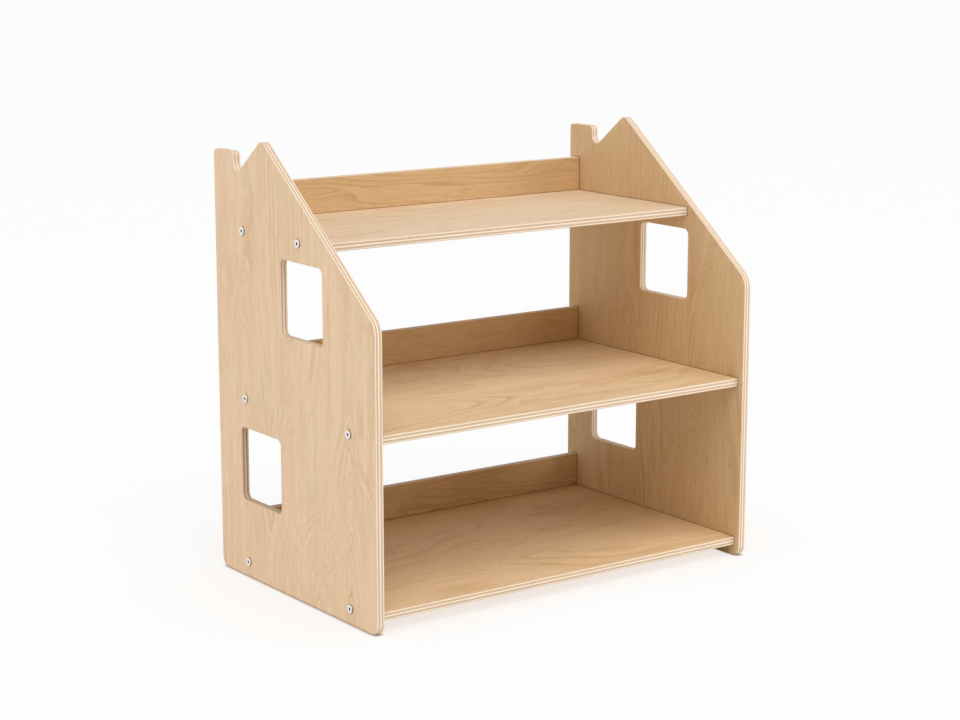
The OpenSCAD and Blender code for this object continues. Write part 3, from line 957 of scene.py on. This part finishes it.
def steel_material(name, finish):
    """Zinc-plated steel in each screw's own coordinates, bright on the face of the head and dark
    in the recess and round the side of the head."""
    material, w = new_material(name)
    own = w.put("ShaderNodeAttribute", {}, attribute_name=TURNED)["Vector"]
    marks = group_node(w, turned_steel, point=own, rate=finish.groove_rate)
    base = w.blend(marks["Dull"], finish.bright, finish.dull)
    base = w.blend(marks["Deep"], base, finish.deep)
    rough = (marks["Dull"] * DULL_ROUGHNESS + (finish.roughness - POLISH)
             + marks["Deep"] * SHADE_ROUGHNESS + marks["Groove"] * MARK_ROUGHNESS)
    shader = w.put("ShaderNodeBsdfPrincipled", {
        "Base Color": base, "Metallic": 1.0, "Roughness": rough,
        "Normal": w.bump(marks["Groove"], strength=0.5, depth=finish.relief)})["BSDF"]
    w.put("ShaderNodeOutputMaterial", {"Surface": shader})
    return material


# Pieces


def add_object(data):
    """Adds an object named like its data to the scene."""
    thing = bpy.data.objects.new(data.name, data)
    bpy.context.scene.collection.objects.link(thing)
    return thing


def add_piece(mesh, material, node, slot):
    """Puts a finished mesh into the scene in the place of a CAD node."""
    mesh.materials.append(material)
    piece = add_object(mesh)
    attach(piece, BODY)
    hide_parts(node)


def add_screws(slot, nodes, rows_of, segments, settings):
    """Adds finished screws in the place of CAD nodes, given as pairs of a name and the axes. The
    length and the diameter of the head come from the node's box, and each screw is turned
    further than the one before it."""
    material = steel_material(slot + "_plated", settings.steel)
    t = np.linspace(0.0, FULL_TURN, segments, endpoint=False)
    for number_before, (node, axes) in enumerate(nodes):
        low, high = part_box(node)
        size, way = high - low, axes[2]
        run = abs(size.dot(way))
        mesh = screw_mesh(node + "_finished", axes, (low + high) / 2 - way * run / 2,
                          rows_of(t, run, size.z, settings.screws),
                          t + GOLDEN_TURN * number_before)
        add_piece(mesh, material, node, slot)


class TOYSHELF_OT_side_panels(bpy.types.Operator):
    """Makes the two house-shaped side panels with their windows and screw holes"""

    bl_idname = "toy_shelf.side_panels"
    bl_label = "Side Panels"
    bl_options = {"REGISTER", "UNDO"}

    def execute(self, context):
        settings = context.scene.toy_shelf
        touching = [board + level for board in ("shelf_", "rail_") for level in LEVELS]
        for side in SIDES:
            node = "side_panel_" + side
            mesh = side_panel_mesh(node + "_finished", side, settings.outline, settings.screws)
            material = plywood_material("panel_wood_" + side, node, PANEL_AXES, touching,
                                        settings.plywood)
            add_piece(mesh, material, node, "panel_wood")
        return {"FINISHED"}


def finish_boards(kind, axes, partner, finish):
    """Gives the CAD boards of one kind their plywood. Each one touches both side panels and its
    partner on the same level."""
    for level in LEVELS:
        node = f"{kind}_{level}"
        touching = "side_panel_left", "side_panel_right", f"{partner}_{level}"
        material = plywood_material(f"{kind}_wood_{level}", node, axes, touching, finish)
        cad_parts[node].material_slots[0].material = material


class TOYSHELF_OT_shelves(bpy.types.Operator):
    """Finishes the three shelf boards, whose grain runs from side to side"""

    bl_idname = "toy_shelf.shelves"
    bl_label = "Shelves"
    bl_options = {"REGISTER", "UNDO"}

    def execute(self, context):
        finish_boards("shelf", SHELF_AXES, "rail", context.scene.toy_shelf.plywood)
        return {"FINISHED"}


class TOYSHELF_OT_rails(bpy.types.Operator):
    """Finishes the three rails behind the shelves"""

    bl_idname = "toy_shelf.rails"
    bl_label = "Rails"
    bl_options = {"REGISTER", "UNDO"}

    def execute(self, context):
        finish_boards("rail", RAIL_AXES, "shelf", context.scene.toy_shelf.plywood)
        return {"FINISHED"}


class TOYSHELF_OT_connector_screws(bpy.types.Operator):
    """Makes the twelve connector screws with hexagon sockets"""

    bl_idname = "toy_shelf.connector_screws"
    bl_label = "Connector Screws"
    bl_options = {"REGISTER", "UNDO"}

    def execute(self, context):
        settings = context.scene.toy_shelf
        nodes = [(f"connector_{level}_{side}_{end}", POINTS_INWARD[side])
                 for side, level, end in itertools.product(SIDES, LEVELS, ENDS)]
        add_screws("connector_steel", nodes, connector_rows, settings.screws.segments, settings)
        return {"FINISHED"}


class TOYSHELF_OT_rail_screws(bpy.types.Operator):
    """Makes the nine countersunk screws with cross recesses that hold the rails"""

    bl_idname = "toy_shelf.rail_screws"
    bl_label = "Rail Screws"
    bl_options = {"REGISTER", "UNDO"}

    def execute(self, context):
        settings = context.scene.toy_shelf
        nodes = [(f"rail_screw_{level}_{place}", POINTS_FORWARD)
                 for level, place in itertools.product(LEVELS, RAIL_PLACES)]
        add_screws("rail_screw_steel", nodes, rail_screw_rows, 2 * settings.screws.segments,
                   settings)
        return {"FINISHED"}


# Studio


def add_lamp(kind, place, aim, **settings):
    """Lamp at a place, turned to an aim."""
    light = bpy.data.lights.new(kind.lower() + "_lamp", kind)
    for name, value in settings.items():
        setattr(light, name, value)
    lamp = add_object(light)
    lamp.location = place
    lamp.rotation_mode = "QUATERNION"
    lamp.rotation_quaternion = (Vector(aim) - Vector(place)).to_track_quat("-Z", "Y")


def seen_directly(w):
    """One for what the camera sees straight or in a mirror, and zero for other light."""
    path = w.put("ShaderNodeLightPath", {})
    either = w.maths("MAXIMUM", path["Is Camera Ray"], path["Is Glossy Ray"])
    return w.maths("MAXIMUM", either, path["Is Transmission Ray"])


def floor_material(studio):
    """Pale paper that the camera sees as nearly white, with painted soft shade round the shelf and
    a painted dark contact shadow where it stands."""
    material, w = new_material("floor_paper")
    tooth = w.noise(w.put("ShaderNodeTexCoord", {})["Object"], TOOTH_RATE)
    rough = w.bump(tooth, strength=0.1, depth=0.0001)
    paper = w.put("ShaderNodeBsdfDiffuse", {"Color": studio.floor_colour, "Normal": rough})[0]
    colour_seen = WHITE
    # Painted shadow: the colour that the camera sees darkens where the shelf is close by
    for reach, shaded in ((studio.shade_reach, studio.shade_colour),
                          (studio.contact_reach, studio.contact_colour)):
        opening = w.put("ShaderNodeAmbientOcclusion", {"Distance": reach},
                        samples=SHADE_SAMPLES)["AO"]
        colour_seen = w.blend(opening, shaded, colour_seen)
    white = w.put("ShaderNodeEmission", {"Color": colour_seen, "Strength": 1.0})[0]
    glow = seen_directly(w) * studio.floor_glow
    both = w.put("ShaderNodeMixShader", {0: glow, 1: paper, 2: white})[0]
    w.put("ShaderNodeOutputMaterial", {"Surface": both})
    return material


def lay_floor(studio):
    """Square floor at the height of the shelf's feet."""
    mesh = bpy.data.meshes.new("floor")
    half = studio.floor_size / 2
    corners = [(-half, -half, 0.0), (half, -half, 0.0), (half, half, 0.0), (-half, half, 0.0)]
    mesh.from_pydata(corners, [], [(0, 1, 2, 3)])
    mesh.materials.append(floor_material(studio))
    floor = add_object(mesh)
    floor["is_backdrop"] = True


def light_studio(studio):
    """Even light from all round, which the camera sees as white, a broad light and two lamps."""
    world = bpy.data.worlds.new("studio")
    bpy.context.scene.world = world
    world.use_nodes = True
    world.node_tree.nodes.clear()
    w = Wiring(world.node_tree)
    level = w.between(seen_directly(w), studio.sky_level, 1.0)
    sky = w.put("ShaderNodeBackground", {"Color": WHITE, "Strength": level})[0]
    w.put("ShaderNodeOutputWorld", {"Surface": sky})
    add_lamp("SUN", studio.key_place, studio.aim, energy=studio.key_strength,
             angle=studio.key_softness)
    add_lamp("AREA", studio.side_place, studio.aim, energy=studio.side_power,
             size=studio.lamp_size)
    add_lamp("AREA", studio.fill_place, studio.fill_aim, energy=studio.fill_power,
             size=studio.lamp_size)


def place_camera(studio):
    camera = add_object(bpy.data.cameras.new("camera"))
    camera.data.lens = studio.lens
    camera.location = studio.place
    camera.rotation_euler = (FULL_TURN / 4 - studio.pitch, 0.0, -studio.yaw)
    bpy.context.scene.camera = camera


class TOYSHELF_OT_studio(bpy.types.Operator):
    """Lays the pale floor, sets up the soft light and places the camera"""

    bl_idname = "toy_shelf.studio"
    bl_label = "Studio"
    bl_options = {"REGISTER", "UNDO"}

    def execute(self, context):
        studio = context.scene.toy_shelf.studio
        context.scene.view_settings.view_transform = "Standard"
        lay_floor(studio)
        light_studio(studio)
        place_camera(studio)
        return {"FINISHED"}


class TOYSHELF_PT_sidebar(bpy.types.Panel):
    """Lists the pieces of the toy shelf and their settings"""

    bl_idname = "TOYSHELF_PT_sidebar"
    bl_label = "Toy Shelf"
    bl_space_type = "VIEW_3D"
    bl_region_type = "UI"
    bl_category = "Toy Shelf"

    def draw(self, context):
        for operator in OPERATORS:
            self.layout.operator(operator.bl_idname)
        for group in ToyShelfSettings.__annotations__:
            values = getattr(context.scene.toy_shelf, group)
            box = self.layout.box()
            box.label(text=group.capitalize())
            for name in type(values).__annotations__:
                box.prop(values, name)


OPERATORS = (TOYSHELF_OT_studio, TOYSHELF_OT_side_panels, TOYSHELF_OT_shelves, TOYSHELF_OT_rails,
             TOYSHELF_OT_connector_screws, TOYSHELF_OT_rail_screws)
CLASSES = (HouseOutline, ScrewSizes, PlywoodFinish, SteelFinish, Studio, ToyShelfSettings,
           *OPERATORS, TOYSHELF_PT_sidebar)


def register():
    for cls in CLASSES:
        bpy.utils.register_class(cls)
    bpy.types.Scene.toy_shelf = bpy.props.PointerProperty(type=ToyShelfSettings)


def unregister():
    del bpy.types.Scene.toy_shelf
    for cls in reversed(CLASSES):
        bpy.utils.unregister_class(cls)


def write_sizes():
    """Lists the corners of the CAD box and of the finished model's box, in metres, without writing
    them.
    """
    bpy.context.view_layer.update()
    boxes = {"cad": CAD_BOX, "visual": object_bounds()}
    lists = {name: [list(corner) for corner in box] for name, box in boxes.items()}


def main():
    register()
    bpy.ops.toy_shelf.studio()
    bpy.ops.toy_shelf.side_panels()
    bpy.ops.toy_shelf.shelves()
    bpy.ops.toy_shelf.rails()
    bpy.ops.toy_shelf.connector_screws()
    bpy.ops.toy_shelf.rail_screws()
    write_sizes()


if __name__ == "__main__":
    main()
